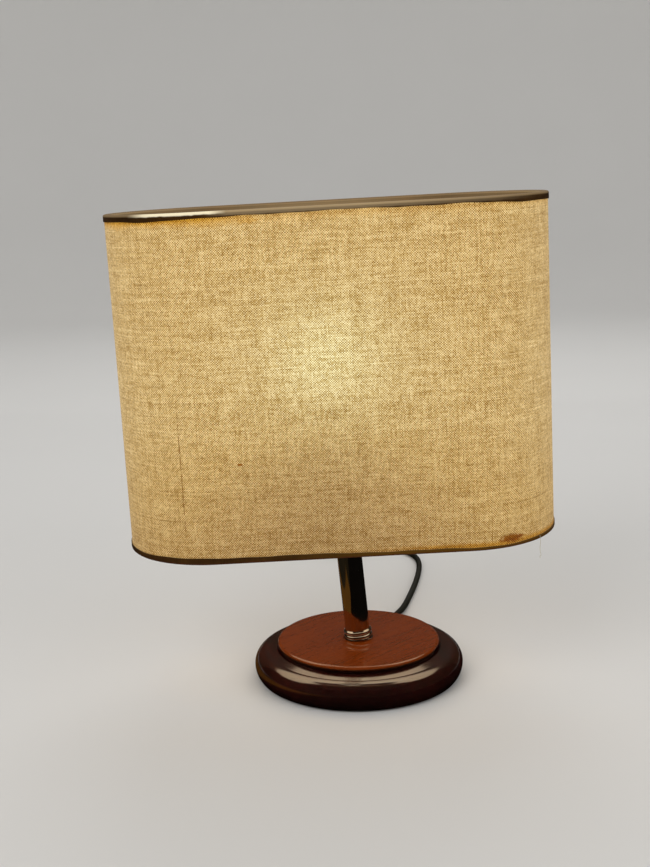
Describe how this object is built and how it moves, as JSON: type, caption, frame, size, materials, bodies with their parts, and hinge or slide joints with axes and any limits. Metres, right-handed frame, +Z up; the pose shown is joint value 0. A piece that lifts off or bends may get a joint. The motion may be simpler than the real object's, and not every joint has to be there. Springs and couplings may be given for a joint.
{
  "type": "table lamp",
  "caption": "Table lamp with a turned two-tier wooden base, a leaning chrome stem, an oval linen drum shade that turns, a screw-in bulb, a corded rocker switch and a plug.",
  "frame": {"origin": "centre of the felt pad's underside, where the lamp stands", "axes": "+Z up, +X along the shade's long side, -Y towards the front of the lamp"},
  "size_m": [0.3824, 0.5577, 0.4259],
  "materials": {
    "mahogany_dark": "deep red-brown lacquered wood, glossy",
    "mahogany_red": "red-brown lacquered wood, satin gloss",
    "felt": "dark felt",
    "chrome": "polished chrome",
    "steel": "zinc plated steel",
    "black_plastic": "black plastic, satin",
    "white_plastic": "white plastic, satin",
    "ceramic": "white glazed steatite",
    "brass": "drawn brass",
    "bulb_metal": "plated cap",
    "bulb_globe": "frosted, lit",
    "circuit_board": "green solder mask",
    "led": "phosphor",
    "linen": "plain woven linen with slubs",
    "liner": "white laminate, translucent",
    "trim": "dark brown ribbon tape",
    "wire": "white coated wire",
    "cord": "black round flex",
    "lead_brown": "brown insulation",
    "lead_blue": "blue insulation"
  },
  "bodies": {
    "base": {"base_lower_tier": "mahogany_dark", "base_top_disc": "mahogany_red", "felt_pad": "felt", "strain_relief": "cord", "cord_clamp": "black_plastic", "clamp_screws": "steel", "stem_collar": "chrome", "stem_tube": "chrome", "stem_cap": "chrome", "threaded_rod": "steel", "base_washer": "steel", "lock_washer": "steel", "base_nut": "steel", "holder_base": "black_plastic", "holder_shell": "black_plastic", "holder_core": "ceramic", "screw_shell": "brass", "centre_contact": "brass", "lower_shade_ring": "black_plastic", "upper_shade_ring": "black_plastic", "rod_lock_screw": "steel", "terminal_blocks": "brass", "terminal_screws": "steel", "inner_cord": "cord", "lead_live": "lead_brown", "lead_neutral": "lead_blue", "switch_base": "black_plastic", "switch_cover": "black_plastic", "switch_screws": "steel", "rocker_pin": "steel", "switch_contacts": "brass", "cord_run": "cord", "cord_link": "cord", "cord_coil": "cord", "cord_end": "cord", "cord_tie": "black_plastic", "plug_strain_relief": "cord", "plug_body": "black_plastic", "plug_pins": "steel"},
    "shade": {"fitter_ring": "wire", "fitter_arms": "wire", "top_wire_ring": "wire", "bottom_wire_ring": "wire", "shade_liner": "liner", "shade_fabric": "linen", "top_trim": "trim", "bottom_trim": "trim"},
    "bulb_lift": {"bulb_tip": "bulb_metal"},
    "bulb": {"bulb_insulator": "black_plastic", "bulb_cap": "bulb_metal", "bulb_body": "white_plastic", "bulb_globe": "bulb_globe", "led_board": "circuit_board", "driver_board": "circuit_board", "led_chips": "led"},
    "rocker": {"switch_rocker": "black_plastic"}
  },
  "joints": [
    {"name": "shade_turn", "type": "hinge", "parent": "base", "child": "shade", "pos_m": [-0.01752, 0, 0.23353], "axis": [-0.0872, 0, 0.9962], "continuous": true},
    {"name": "bulb_rise", "type": "slide", "parent": "base", "child": "bulb_lift", "axis": [-0.0872, 0, 0.9962], "range_m": [0, 0.0218]},
    {"name": "bulb_turn", "type": "hinge", "parent": "bulb_lift", "child": "bulb", "pos_m": [-0.02005, 0, 0.26243], "axis": [-0.0872, 0, 0.9962], "range_deg": [0, 2160]},
    {"name": "switch_rock", "type": "hinge", "parent": "base", "child": "rocker", "pos_m": [-0.0125, 0.3695, 0.014], "axis": [0, 1, 0], "range_deg": [-16, 0]}
  ],
  "couplings": [
    {"joint": "bulb_rise", "follows": "bulb_turn", "m_per_rad": 0.00057614}
  ]
}
